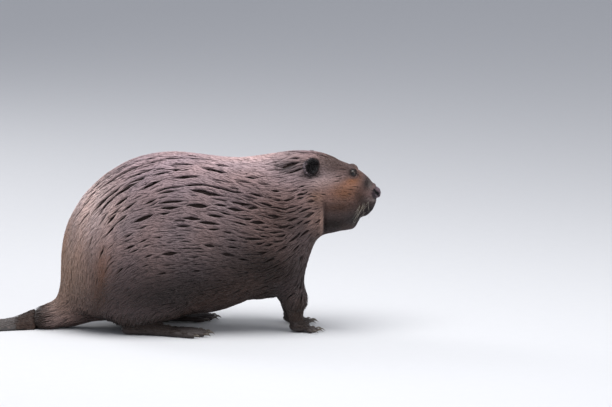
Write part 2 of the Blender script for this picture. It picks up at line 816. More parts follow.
class Hide:
    """The skin as arrays, for rooting locks and following its surface."""

    def __init__(self, piece):
        mesh = piece.data
        mesh.calc_loop_triangles()
        self.points = places(piece)
        self.facing = normals(piece)
        self.corners = column(mesh.loop_triangles, "vertices", 3, np.int32)
        self.loops = column(mesh.loop_triangles, "loops", 3, np.int32)
        self.face = column(mesh.loop_triangles, "polygon_index", 1, np.int32).ravel()
        self.tree = BVHTree.FromPolygons(self.points.tolist(), self.corners.tolist())
        sides = self.points[self.corners]
        cross = np.cross(sides[:, 1] - sides[:, 0], sides[:, 2] - sides[:, 0])
        self.area = np.linalg.norm(cross, axis=1) / 2
        self.centre = sides.mean(1)

    def scatter(self, draw, count):
        """That many roots in each triangle, on average: the triangles and the roots' shares in them."""
        whole = np.floor(count + draw.random(len(count))).astype(int)
        triangle = np.repeat(np.arange(len(count)), whole)
        share = draw.random((len(triangle), 2))
        over = share.sum(1) > 1
        share[over] = 1 - share[over]
        return triangle, np.column_stack([1 - share.sum(1), share])

    def at(self, values, triangle, share):
        return (values[self.corners[triangle]] * share[:, :, None]).sum(1)

    def on_map(self, maps, triangle, share):
        return (maps[self.loops[triangle]] * share[:, :, None]).sum(1)

    def roots(self, draw, count):
        """Places and facings of that many roots in each triangle, with their triangles and shares."""
        triangle, share = self.scatter(draw, count)
        facing = unit(self.at(self.facing, triangle, share))
        return self.at(self.points, triangle, share), facing, triangle, share

    def face_normals(self):
        return self.facing[self.corners].mean(1)

    def follow(self, points):
        """The nearest points of the skin and its facing there."""
        found, triangle = np.empty_like(points), np.empty(len(points), int)
        for i, point in enumerate(points.tolist()):
            place, _, triangle[i], _ = self.tree.find_nearest(point)
            found[i] = place
        a, b, c = (self.points[self.corners[triangle, k]] for k in range(3))
        u, v, w = b - a, c - a, found - a
        uu, uv, vv = (u * u).sum(1), (u * v).sum(1), (v * v).sum(1)
        wu, wv = (w * u).sum(1), (w * v).sum(1)
        scale = uu * vv - uv * uv + 1e-24
        s, t = (vv * wu - uv * wv) / scale, (uu * wv - uv * wu) / scale
        share = np.clip(np.column_stack([1 - s - t, s, t]), 0, 1)
        return found, unit(self.at(self.facing, triangle, share), TINY)


STATIONS = np.array([0.0, 0.24, 0.52, 0.8, 1.0])  # along a lock; the last is its tip
HALF_WIDTH = np.array([0.45, 0.92, 0.95, 0.55])  # of the lock's own half width
THICKNESS = np.array([0.5, 0.9, 1.0, 0.6]) * 0.12
LIFT = np.array([-0.35, 0.3, 0.66, 0.82, 0.78])  # of the coat's depth
MIDDLE = 2  # the station by which a lock is placed among the others
RING = 3
LOCK_POINTS = RING * (len(STATIONS) - 1) + 1
PIECE_LIMIT = 8800  # locks in one piece
# Each region of the coat from the tail on, and where it ends on the way to the nose. The face is last.
REGIONS = (
    ("rump", -0.075), ("haunch", 0.015), ("flank", 0.105), ("shoulder", 0.195), ("neck", 0.28),
    ("head", 0.34), ("cheek", 0.39),
)
FACE_REGIONS = ("head", "cheek", "face")


def lock_faces():
    """Triangles of one lock: three sides, a root and a tip."""
    faces = []
    for ring in range(len(STATIONS) - 2):
        for k in range(RING):
            a, b = ring * RING + k, ring * RING + (k + 1) % RING
            faces += [(a, b, b + RING), (a, b + RING, a + RING)]
    last = RING * (len(STATIONS) - 2)
    faces += [(last + k, last + (k + 1) % RING, LOCK_POINTS - 1) for k in range(RING)]
    faces.append((0, 2, 1))
    return np.array(faces)


LOCK_FACES = lock_faces()
# Where each point of a lock sits on its own patch of a map, across and along.
PATCH_ACROSS = np.array([0.0, 1.0, 0.5] * (len(STATIONS) - 1) + [0.5])
PATCH_ALONG = np.concatenate([np.repeat(STATIONS[:-1], RING), [1.0]])
PATCH = 0.003  # width of a lock's patch on the map


def lock_mesh(name, points, colours, patches):
    """One piece of coat from locks of LOCK_POINTS points each."""
    count = len(points)
    mesh = bpy.data.meshes.new(name)
    mesh.vertices.add(count * LOCK_POINTS)
    mesh.vertices.foreach_set("co", points.astype(np.float32).ravel())
    faces = (np.arange(count)[:, None, None] * LOCK_POINTS + LOCK_FACES).astype(np.int32)
    mesh.loops.add(faces.size)
    mesh.loops.foreach_set("vertex_index", faces.ravel())
    mesh.polygons.add(faces.size // 3)
    mesh.polygons.foreach_set("loop_start", np.arange(0, faces.size, 3, dtype=np.int32))
    mesh.update(calc_edges=True)
    across, along = PATCH_ACROSS[LOCK_FACES], PATCH_ALONG[LOCK_FACES]
    local = np.stack([across, along], -1)[None]
    spread = patches[:, None, None, :] + (local - 0.5) * PATCH
    mesh.uv_layers.new(name="OFBake").data.foreach_set("uv", spread.astype(np.float32).ravel())
    strands = np.broadcast_to(local, spread.shape)
    mesh.uv_layers.new(name="Lock").data.foreach_set("uv", strands.astype(np.float32).ravel())
    piece = added(name, mesh)
    tint(piece, colours.reshape(-1, 3))
    return piece


class Slits:
    """Lens-shaped openings in the wet coat, each bent along the lie of the hair."""

    SAMPLES = 3  # to either side of the middle
    GIVE = 4.5  # how far off the locks still give way, in half widths of the slit
    RAGGED = 0.4  # how unevenly its edges end

    def __init__(self, hide, place, facing, half_length, half_width):
        self.half_length = half_length
        self.half_width = half_width
        step = half_length / self.SAMPLES
        centres, alongs = {}, {}
        for way in (-1, 1):
            point, face = place, facing
            for i in range(self.SAMPLES + 1):
                along = coat_lie(point, face)
                centres[way * i], alongs[way * i] = point, (along, np.cross(face, along))
                point, face = hide.follow(point + way * along * step[:, None])
        order = range(-self.SAMPLES, self.SAMPLES + 1)
        self.centre = np.stack([centres[i] for i in order], 1)
        self.along = np.stack([alongs[i][0] for i in order], 1)
        self.across = np.stack([alongs[i][1] for i in order], 1)

    def measure(self, slit, points):
        """How far along (-1 to 1) and across (metres) the points lie, and the direction across."""
        off = points[..., None, :] - self.centre[slit]
        nearest = (off**2).sum(-1).argmin(-1)
        off = np.take_along_axis(off, nearest[..., None, None], -2)[..., 0, :]
        along = (off * self.along[slit][nearest]).sum(-1) / self.half_length[slit]
        across = self.across[slit][nearest]
        return nearest / self.SAMPLES - 1 + along, (off * across).sum(-1), across

    def near(self, slit, points, margin):
        middle = self.centre[slit, self.SAMPLES]
        reach = self.half_length[slit] + margin
        return np.flatnonzero(((points - middle) ** 2).sum(1) < reach**2)

    def open(self, spine, width, length, lean):
        """Pushes whole locks to one side of each slit; lean settles the side of those in the middle."""
        for slit in range(len(self.half_length)):
            near = self.near(slit, spine[:, MIDDLE], 0.5 * length.max())
            a, b, across = self.measure(slit, spine[near])
            weight = np.maximum(1 - a * a, 0)
            side = np.where((b * weight).sum(1) + lean[near] * weight.sum(1) < 0, -1.0, 1.0)[:, None]
            ragged = 1 + self.RAGGED * (lean / width)[near][:, None]
            hole = (self.half_width[slit] * ragged + 0.4 * width[near][:, None]) * weight
            reach = self.GIVE * self.half_width[slit]
            off = np.maximum(b * side, 0)
            moved = side * (hole + off * (reach - hole) / reach)
            push = np.where((weight > 0) & (np.abs(b) < reach), moved - b, 0)
            spine[near] += push[..., None] * across
        return spine

    def crossed(self, spine):
        """Whether a lock still runs through the middle of a slit."""
        bad = np.zeros(len(spine), bool)
        shares = np.linspace(0, 1, 4)[:-1, None]
        stations = spine.swapaxes(0, 1)
        dense = np.stack([a * (1 - t) + b * t for a, b in zip(stations, stations[1:]) for t in shares], 1)
        for slit in range(len(self.half_length)):
            near = self.near(slit, spine[:, MIDDLE], 0.03)
            a, b, _ = self.measure(slit, dense[near])
            inside = (np.abs(a) < 0.9) & (np.abs(b) < 0.75 * self.half_width[slit] * (1 - a * a))
            bad[near] |= inside.any(1)
        return bad


# The largest openings of the wet coat, seen from the side, in mm: the middle (x, z), half length and
# half width.
PARTINGS = (
    # rump
    (-22, 305, 50, 3.0), (-11, 297, 36, 2.6), (-42, 268, 46, 3.0), (-70, 254, 48, 3.0), (-98, 255, 36, 2.5),
    (-56, 307, 34, 2.3), (-4, 331, 26, 2.2), (70, 333, 46, 2.3), (68, 314, 33, 2.4), (23, 319, 19, 3.0),
    (-30, 288, 40, 2.5), (-58, 285, 44, 2.6), (-84, 270, 34, 2.2), (-112, 236, 26, 2.0), (-34, 324, 26, 2.0),
    (50, 323, 21, 3.2), (11, 281, 24, 3.5), (-44, 250, 18, 3.4), (-42, 221, 16, 2.5), (-62, 219, 18, 3.4),
    (-78, 216, 18, 1.6), (-107, 222, 14, 1.3), (-90, 236, 24, 1.3), (-2, 222, 25, 3.6), (-2, 206, 10, 1.6),
    (-30, 191, 12, 2.6), (-28, 169, 13, 2.8), (4, 174, 10, 1.7), (6, 155, 12, 2.3), (46, 131, 13, 1.6),
    # upper flank
    (76, 295, 31, 3.5), (44, 276, 30, 2.4), (98, 281, 25, 3.7), (107, 270, 24, 3.2), (50, 252, 30, 3.7),
    (96, 246, 22, 3.2), (87, 222, 20, 3.6), (37, 231, 10, 3.4), (144, 311, 17, 3.6), (118, 307, 18, 1.8),
    (135, 303, 25, 2.4), (135, 277, 27, 2.4), (142, 287, 22, 2.0), (133, 265, 26, 2.6), (109, 244, 14, 2.6),
    (129, 236, 14, 2.4), (151, 231, 13, 1.8), (126, 213, 15, 3.8), (129, 203, 12, 2.8), (155, 197, 12, 3.0),
    (113, 216, 13, 2.4), (46, 160, 18, 3.6), (78, 162, 11, 1.5), (120, 172, 12, 2.8), (153, 158, 14, 2.8),
    # shoulder
    (169, 269, 17, 2.2), (181, 248, 25, 3.4), (207, 263, 18, 3.6), (167, 239, 18, 3.0), (201, 241, 12, 3.8),
    (245, 270, 11, 2.6), (245, 253, 10, 2.4), (267, 253, 11, 2.8), (289, 256, 11, 2.6), (293, 277, 11, 2.4),
    (301, 267, 8, 1.6), (313, 259, 8, 1.5), (311, 249, 9, 2.4), (275, 240, 13, 2.6), (249, 240, 16, 2.4),
    (297, 235, 11, 2.0), (241, 226, 15, 3.4), (273, 231, 11, 2.4), (221, 226, 18, 2.2), (275, 218, 14, 2.8),
    (291, 215, 9, 2.4), (213, 214, 19, 3.3), (177, 215, 11, 2.2), (157, 197, 11, 3.2),
    (185, 196, 9, 2.2), (253, 190, 14, 2.8), (277, 185, 18, 2.2), (207, 185, 11, 2.4), (123, 173, 12, 2.6),
    (163, 171, 12, 2.2), (231, 173, 10, 2.5), (213, 177, 9, 2.0), (281, 166, 11, 1.8), (157, 156, 17, 2.4),
    (195, 156, 9, 1.8), (300, 196, 12, 2.4), (303, 214, 12, 2.2),
    # neck and head
    (191, 325, 13, 2.4), (213, 325, 12, 2.0), (241, 316, 11, 1.6), (271, 313, 22, 4.0), (284, 325, 12, 2.2),
    (284, 305, 12, 2.0), (270, 300, 10, 1.6), (280, 333, 14, 2.0), (300, 333, 18, 2.2), (318, 333, 16, 2.0),
    (353, 325, 14, 1.8), (336, 329, 14, 1.7), (382, 317, 10, 1.3), (368, 313, 8, 1.2), (372, 307, 9, 1.2),
    (365, 295, 10, 1.2), (361, 286, 9, 1.1), (366, 290, 7, 0.8), (395, 275, 9, 0.9), (335, 263, 7, 0.9),
    (388, 270, 6, 0.6), (384, 262, 6, 0.6), (300, 264, 10, 2.6), (291, 262, 9, 2.2),
)
# And the smaller ones: the middle of a zone and its reach, how many each side has there, and their
# half length and half width.
SLIT_ZONES = (
    ((-55, 310), (48, 34), 36, 34, 1.8),  # thin lines over the rump
    ((-66, 240), (32, 60), 52, 20, 1.7),
    ((25, 290), (50, 32), 24, 22, 2.0),
    ((75, 250), (75, 34), 76, 16, 2.0),
    ((70, 165), (110, 34), 76, 11, 1.6),
    ((90, 325), (110, 14), 12, 18, 1.1),  # few, along the back
    ((175, 265), (45, 34), 50, 13, 2.0),
    ((235, 235), (50, 40), 170, 11, 1.9),  # small and close, on the shoulder
    ((215, 178), (60, 26), 40, 10, 1.7),
    ((205, 318), (55, 14), 16, 10, 1.1),
    ((302, 234), (16, 34), 44, 8, 1.6),  # before the ruff
    ((318, 334), (30, 10), 10, 10, 1.1),  # over the crown
)
SLIT_GAP = 1.0 * MM  # least coat between two slits that lie side by side
PARTING_ROOM = 0.42  # the largest openings may lie this close, as a share of the full distance
PARTING_WANDER = 2.5 * MM  # how far the left side's openings lie from those of the right


def clear(spot, facing, along, half_length, half_width, made, room):
    """Whether a slit keeps clear of those made before; room is how much of the full distance it needs."""
    if not made:
        return True
    others = np.array([other for other, *_ in made])
    long_others, wide_others = np.array([sizes for *_, sizes in made]).T
    off = others - spot
    apart = np.abs(off @ along) > 0.72 * room * (half_length + long_others)
    beside = np.abs(off @ np.cross(facing, along)) > room * (1.1 * (half_width + wide_others) + SLIT_GAP)
    return bool((apart | beside | (np.abs(off @ facing) > 0.05)).all())


def coat_slits(hide, draw):
    """The slits on both sides: the large ones in their places, then those of the zones that keep clear."""
    made = []

    def cut(triangle, half_length, half_width, room):
        spot, facing = hide.centre[triangle], hide.facing[hide.corners[triangle]].mean(0)
        facing /= np.linalg.norm(facing)
        along = coat_lie(spot[None], facing[None])[0]
        if clear(spot, facing, along, half_length, half_width, made, room):
            made.append((spot, facing, (half_length, half_width)))

    for _, side in SIDES:
        for x, z, long, wide in PARTINGS:
            wander = draw.normal(0, PARTING_WANDER, 2) * (side > 0)
            start = Vector((x * MM + wander[0], 0.3 * side, z * MM + wander[1]))
            triangle = hide.tree.ray_cast(start, Vector((0, -side, 0)))[2]
            if triangle is not None:
                cut(triangle, long * MM, wide * MM * (0.8 if side > 0 else 1), PARTING_ROOM)
    for middle, reach, count, long, wide in SLIT_ZONES:
        for _, side in SIDES:
            chance = hide.area * side_weight(hide.centre, middle, reach) ** 1.5
            chance = chance * (hide.centre[:, 1] * side > 0)
            for triangle in draw.choice(len(chance), count, p=chance / chance.sum()):
                size = 0.45 + 1.0 * draw.random() ** 1.4
                cut(triangle, long * MM * size, wide * MM * size * draw.uniform(0.7, 1.25), 1.0)
    spots, facings, sizes = (np.array(parts) for parts in zip(*made))
    return Slits(hide, spots, facings, sizes[:, 0], sizes[:, 1])


def march(hide, root, facing, length, lie_of, stray):
    """Follows the skin from each root: the points of a lock's spine, the facing and the direction across."""
    spine, normal, across = [], [], []
    point, face = root, facing
    for i in range(len(STATIONS)):
        if i:
            step = (STATIONS[i] - STATIONS[i - 1]) * length
            point, face = hide.follow(point + lie * step[:, None])
        lie = lie_of(point, face)
        lie = lie * np.cos(stray)[:, None] + np.cross(face, lie) * np.sin(stray)[:, None]
        spine.append(point)
        normal.append(face)
        across.append(np.cross(face, lie))
    return tuple(np.stack(parts, 1) for parts in (spine, normal, across))


def lock_points(spine, normal, across, width, lift):
    """The points of the locks: rings of three along the spine, and the tip."""
    base = spine + normal * lift[:, :, None]
    half = (width[:, None] * HALF_WIDTH / 2)[:, :, None]
    thick = (width[:, None] * THICKNESS)[:, :, None]
    body, side = base[:, :-1], across[:, :-1]
    rings = np.stack([body - side * half, body + side * half, body + normal[:, :-1] * thick], 2)
    points = np.concatenate([rings.reshape(len(spine), -1, 3), base[:, -1:]], 1)
    points[:, :, 2] = np.maximum(points[:, :, 2], 0)
    return points


def gather(spine, across, draw, each, share):
    """Leans the tips of neighbouring locks together; also gives the leader of each lock."""
    leaders = draw.choice(len(spine), len(spine) // each, replace=False)
    tree = KDTree(len(leaders))
    middle = spine[:, MIDDLE]
    for i, leader in enumerate(leaders):
        tree.insert(middle[leader], i)
    tree.balance()
    nearest = np.array([leaders[tree.find(place)[1]] for place in middle.tolist()])
    pull = ((middle[nearest] - middle) * across[:, MIDDLE]).sum(1)
    return spine + across * (pull[:, None] * share * STATIONS**1.4)[:, :, None], nearest


CLUMP = 14  # locks whose tips run together
SPREAD = 0.4  # how far the sides of a lock in a slit's middle are drawn apart, in its own widths
STRAY_SHARE = 0.1  # of the locks across a slit, those that stay as single thin strands
SUNK_SHARE = 0.55  # and those that stay, thin and wet, down in the underfur
THIN = 0.5
SUNK = 0.2  # of the coat's height


def grow_coat(hide, maps, settings):
    """Every lock of the coat: its points, colours, patch and root."""
    draw = np.random.default_rng(settings.seed)
    _, width = lock_size(hide.centre)
    count = hide.area / width**2 * settings.fill * rooted(hide.centre)
    root, facing, triangle, share = hide.roots(draw, count)
    length, width = lock_size(root)
    length = length * draw.uniform(0.75, 1.2, len(root))
    width = width * draw.uniform(0.8, 1.4, len(root))
    stray = np.radians(settings.stray) * draw.normal(size=len(root))
    spine, normal, across = march(hide, root, facing, length, coat_lie, stray)
    spine, leader = gather(spine, across, draw, CLUMP, settings.clumping)

    slits = coat_slits(hide, draw)
    spine = slits.open(spine, width, length, draw.uniform(-SPREAD, SPREAD, len(root)) * width)
    crossing = slits.crossed(spine)
    chance = draw.random(len(root))
    stray_hair, sunk = crossing & (chance < STRAY_SHARE), crossing & (chance > 1 - SUNK_SHARE)
    keep = ~crossing | stray_hair | sunk
    width = width * np.where(crossing, THIN, 1.0)
    lift = coat_depth(root)[:, None] * LIFT * draw.uniform(0.95, 1.03, (len(root), 1))
    lift = lift * np.where(sunk, SUNK, 1.0)[:, None]
    points = lock_points(spine, normal, across, width, lift)

    clump = waves(spine[leader, MIDDLE], 0.008, 5)[:, None, None]
    tone = draw.normal(1.0, 0.05, (len(root), 1, 1)) + 0.05 * clump
    colour = coat_colour(spine[:, MIDDLE], normal[:, MIDDLE])
    colour = mix(0.85 * sunk, colour, np.minimum(colour, linear(UNDERFUR) * 1.2))
    colours = colour[:, None, :] * tone * (0.82 + 0.2 * PATCH_ALONG[None, :, None])
    patches = hide.on_map(maps, triangle, share)
    return points[keep], colours[keep], patches[keep], hide.centre[triangle][keep]


def rooted(points):
    """0 where no hair roots: on the eyes and the nose pad, and below the wrists and ankles."""
    bare = fade(points[:, 2], 0.02, 0.026)
    bare *= 1 - fade(points[:, 0], 0.12, 0.14) * ease(0.06 - np.abs(points[:, 1]), 0, 0.01)
    for _, side in SIDES:
        centre, _, ahead, above = eye_frame(side)
        off = points - centre
        right, up = off @ ahead, off @ above
        edge = (EYE_RADIUS + LID) * np.sin(lid_opening(np.arctan2(up, right))) + 0.9 * MM
        bare = np.maximum(bare, (np.hypot(right, up) < edge) & (np.linalg.norm(off, axis=1) < 14 * MM))
    return 1 - np.maximum(bare, leathery(points))


def leathery(points):
    """1 on the bare skin of the nose and of the muzzle just round it."""
    off = (points - np.array(BARE_NOSE[0]) * MM) / (np.array(BARE_NOSE[1]) * MM)
    return 1 - ease(np.linalg.norm(off, axis=1), 0.92, 1.06)


def unwrap(piece, chosen=None):
    """Where each corner of the chosen faces, or of all, lies on an unwrap of just those."""
    mesh = piece.data
    mesh.uv_layers.new(name="unwrap")
    chosen = np.ones(len(mesh.polygons), bool) if chosen is None else chosen
    mesh.polygons.foreach_set("select", chosen)
    edit(piece, (bpy.ops.uv.smart_project, {"angle_limit": 1.15, "island_margin": 0.01}))
    found = column(mesh.uv_layers["unwrap"].data, "uv", 2).astype(float)
    mesh.uv_layers.remove(mesh.uv_layers["unwrap"])
    return found


def region_of(points):
    """The number of the piece of coat that is rooted at each place."""
    return np.searchsorted([x for _, x in REGIONS], points[:, 0]) * 2 + (points[:, 1] > 0)


def region_maps(skin, hide):
    """The unwrap of each region's own skin, put together in one array for all corners."""
    region = np.zeros(len(skin.data.polygons), int)
    region[hide.face] = region_of(hide.centre)
    total = column(skin.data.polygons, "loop_total", 1, np.int32).ravel()
    maps = np.zeros((len(skin.data.loops), 2))
    for number in range(region.max() + 1):
        loops = np.repeat(region == number, total)
        maps[loops] = unwrap(skin, region == number)[loops]
    return maps


def coat_finish():
    """Wet guard hair: fine strands along each lock, a soft gloss and small changes of tone."""
    hair = Finish("guard_hair")
    strand = hair.node("ShaderNodeUVMap", {"uv_map": "Lock"}).value()
    streaks = hair.noise(hair.scaled(strand, (13.0, 0.9, 1.0)), 1.0)
    place = hair.place()
    speckle = hair.noise(place, 700.0)
    colour = hair.shaded(hair.tint(), 0.58 + 0.72 * streaks + 0.1 * speckle)
    normal = hair.bump(streaks, 0.4 * MM, 0.7)
    rough = 0.36 + 0.2 * speckle
    gloss = {"Specular IOR Level": 0.2, "Sheen Weight": 0.08, "Sheen Roughness": 0.4}
    return hair.surface({"Base Color": colour, "Roughness": rough, "Normal": normal, **gloss})


class BEAVER_OT_coat(bpy.types.Operator):
    """The coat: wet locks that lie along the body, in pieces from rump to face."""

    bl_idname = "beaver.coat"
    bl_label = "Coat"

    def execute(self, context):
        settings = context.scene.beaver_coat
        skin = bpy.data.objects["skin"]
        hide = Hide(skin)
        points, colours, patches, root = grow_coat(hide, region_maps(skin, hide), settings)
        region = region_of(root)
        finish = coat_finish()
        for number in range(2 * (len(REGIONS) + 1)):
            zone = "face" if number // 2 == len(REGIONS) else REGIONS[number // 2][0]
            mine = region == number
            if mine.sum() > PIECE_LIMIT:
                raise ValueError(f"{zone} has {mine.sum()} locks")
            label = f"coat_{zone}_{SIDES[number % 2][0]}"
            piece = lock_mesh(label, points[mine], colours[mine], patches[mine])
            settle(piece, "face_coat" if zone in FACE_REGIONS else "coat", finish)
        return {"FINISHED"}


def tufts(label, hide, maps, count, size, lie_of, depth, colour_of, seed, over=None):
    """Short locks on one small piece; size is their length and width. They may run out over another."""
    draw = np.random.default_rng(seed)
    root, facing, triangle, share = hide.roots(draw, count)
    length = size[0] * MM * draw.uniform(0.7, 1.25, len(root))
    width = size[1] * MM * draw.uniform(0.8, 1.3, len(root))
    stray = 0.12 * draw.normal(size=len(root))
    spine, normal, across = march(over or hide, root, facing, length, lie_of, stray)
    lift = depth * MM * LIFT * draw.uniform(0.7, 1.2, (len(root), 1))
    colours = colour_of(root)[:, None, :] * (0.7 + 0.4 * PATCH_ALONG[None, :, None])
    colours = colours * draw.normal(1.0, 0.1, (len(root), 1, 1))
    points = lock_points(spine, normal, across, width, lift)
    return lock_mesh(label, points, colours, hide.on_map(maps, triangle, share))


def all_in(shade):
    """One colour for every root."""
    return lambda roots: np.tile(linear(shade), (len(roots), 1))


# ---------------------------------------------------------------- shapes made ring by ring


def rings_piece(label, runs, loop=False):
    """One mesh from runs of rings (run, ring, point, xyz); each run is capped, or closed on itself."""
    runs = np.asarray(runs, float)
    many, rings, sides, _ = runs.shape
    faces = []
    for run in range(many):
        first = run * rings * sides
        for ring in range(rings if loop else rings - 1):
            here, there = first + ring * sides, first + (ring + 1) % rings * sides
            for k in range(sides):
                after = (k + 1) % sides
                faces.append((here + k, here + after, there + after, there + k))
        if not loop:
            last = first + (rings - 1) * sides
            faces.append(tuple(range(first + sides - 1, first - 1, -1)))
            faces.append(tuple(range(last, last + sides)))
    return shell(label, runs.reshape(-1, 3).tolist(), faces)


def tube(line, wide, tall, sides):
    """Rings round a line of points; wide and tall are half sizes at each point."""
    line = np.asarray(line, float)
    along = unit(np.gradient(line, axis=0))
    across = unit(np.cross(np.broadcast_to((0, 0, 1.0), line.shape), along))
    over = np.cross(along, across)
    angle = (np.arange(sides) * 2 * math.pi / sides)[None, :, None]
    side = np.cos(angle) * across[:, None] * np.asarray(wide)[:, None, None]
    rise = np.sin(angle) * over[:, None] * np.asarray(tall)[:, None, None]
    return line[:, None] + side + rise


# ---------------------------------------------------------------- eyes and whiskers


# Colours of the eye from its middle out: the share of its radius and the colour, linear.
EYE_STOPS = (
    (0.0, (0.003, 0.003, 0.004)),
    (0.36, (0.004, 0.003, 0.003)),
    (0.46, (0.022, 0.012, 0.007)),
    (0.95, (0.010, 0.006, 0.005)),
)
LID_SKIN = (26, 20, 20)


def eye_finish():
    """A dark brown eye with a black pupil, wet and glossy."""
    eye = Finish("eye")
    around = eye.node("ShaderNodeSeparateXYZ", {}, {0: eye.place()})
    across = (around.value("X") - EYE.x) ** 2.0 + (around.value("Z") - EYE.z) ** 2.0
    colour = eye.colours(across**0.5 / EYE_RADIUS, *EYE_STOPS)
    wet = {"Coat Weight": 0.18, "Coat Roughness": 0.12}
    return eye.surface({"Base Color": colour, "Roughness": 0.24, "Specular IOR Level": 0.3, **wet})


class BEAVER_OT_eyes(bpy.types.Operator):
    """Small dark eyes, each in a ring of dark lids."""

    bl_idname = "beaver.eyes"
    bl_label = "Eyes"

    def execute(self, context):
        wet = eye_finish()
        leather = leather_finish("lid_skin", 0.45, 900.0, 0.2 * MM)
        for name, side in SIDES:
            deselect()
            bpy.ops.mesh.primitive_uv_sphere_add(
                segments=48, ring_count=24, radius=EYE_RADIUS, location=tuple(on_side(EYE, side))
            )
            bpy.ops.object.transform_apply()
            ball = context.object
            ball.name = f"eyeball_{name}"
            settle(ball, "eye", wet, f"eye_{name}")
            lids = self.lids(f"lids_{name}", side)
            tint(lids, linear(LID_SKIN))
            settle(lids, "face_coat", leather)
        return {"FINISHED"}

    def lids(self, label, side):
        """The bare rim of the lids, thicker above."""
        centre, axis, ahead, above = eye_frame(side)
        turn = np.linspace(0, 2 * math.pi, 48, endpoint=False)
        opening = lid_opening(turn)[:, None]
        way = np.cos(turn)[:, None] * ahead + np.sin(turn)[:, None] * above
        on_ball = axis * np.cos(opening) + way * np.sin(opening)
        outward = way * np.cos(opening) - axis * np.sin(opening)
        thick = (0.65 + 0.25 * np.maximum(np.sin(turn), 0)) * MM
        angle = (np.arange(10) * 2 * math.pi / 10)[None, :, None]
        section = np.cos(angle) * outward[:, None] * 1.4 + np.sin(angle) * on_ball[:, None]
        rings = (centre + on_ball * (EYE_RADIUS + 0.25 * MM))[:, None] + thick[:, None, None] * section
        return rings_piece(label, rings[None] if side < 0 else rings[None, :, ::-1], loop=True)


def leather_finish(name, rough, scale, deep):
    """Bare skin in the piece's own tint, with a fine pebbled grain."""
    leather = Finish(name)
    place = leather.place()
    pebbles = leather.cells(place, scale)
    blotches = leather.noise(place, scale / 8)
    colour = leather.shaded(leather.tint(), 0.6 + 0.35 * blotches + 0.5 * pebbles)
    normal = leather.bump(pebbles, deep, 0.8)
    sockets = {"Base Color": colour, "Roughness": rough, "Normal": normal, "Specular IOR Level": 0.3}
    return leather.surface(sockets)


# Where the whiskers root, seen from the side, in mm.
WHISKER_ROOTS = (
    (404, 240), (412, 245), (420, 244), (401, 231), (409, 236), (418, 235), (405, 225), (414, 226),
)
WHISKER_COLOUR = (0.3, 0.27, 0.22, 1.0)


class BEAVER_OT_whiskers(bpy.types.Operator):
    """Fine bristles on both sides of the muzzle, swept back and drooping."""

    bl_idname = "beaver.whiskers"
    bl_label = "Whiskers"

    def execute(self, context):
        settings = context.scene.beaver_face
        draw = np.random.default_rng(5)
        hide = Hide(bpy.data.objects["skin"])
        bristle = Finish("whisker")
        finish = bristle.surface({"Base Color": WHISKER_COLOUR, "Roughness": 0.35})
        for name, side in SIDES:
            runs = []
            for number in range(settings.whiskers):
                x, z = WHISKER_ROOTS[number % len(WHISKER_ROOTS)]
                x, z = (x + draw.uniform(-2, 2)) * MM, (z + draw.uniform(-2, 2)) * MM
                root = hide.tree.ray_cast(Vector((x, 0.2 * side, z)), Vector((0, -side, 0)))[0]
                long = settings.whisker_length * draw.uniform(0.35, 1.0)
                start = np.array((draw.uniform(-0.5, 0.25), 0.8 * side, draw.uniform(-0.6, 0.0)))
                end = np.array((draw.uniform(-1.1, 0.1), 0.2 * side, draw.uniform(-1.3, -0.6)))
                t = np.linspace(0, 1, 12)[:, None]
                line = np.array(root) + long * (t * start + t * t * (end - start) / 2) - start * 2 * MM
                half = (0.22 - 0.16 * t[:, 0]) * MM
                runs.append(tube(line, half, half, 4))
            settle(rings_piece(f"whiskers_{name}", runs), "face_coat", finish)
        return {"FINISHED"}


# ---------------------------------------------------------------- ears and nose


EAR_AXIS = (0.53, 0.84, 0.1)  # the way the bowl of the left ear opens
EAR_SKIN = (74, 61, 60)
BOWL_SKIN = (15, 12, 14)
BOWL_HAIR = (27, 21, 23)
EAR_BACK = (150, 134, 140)
EAR_FRONT = (44, 34, 33)
EAR_LOWERED = 0.14  # of what stands above the ear's middle


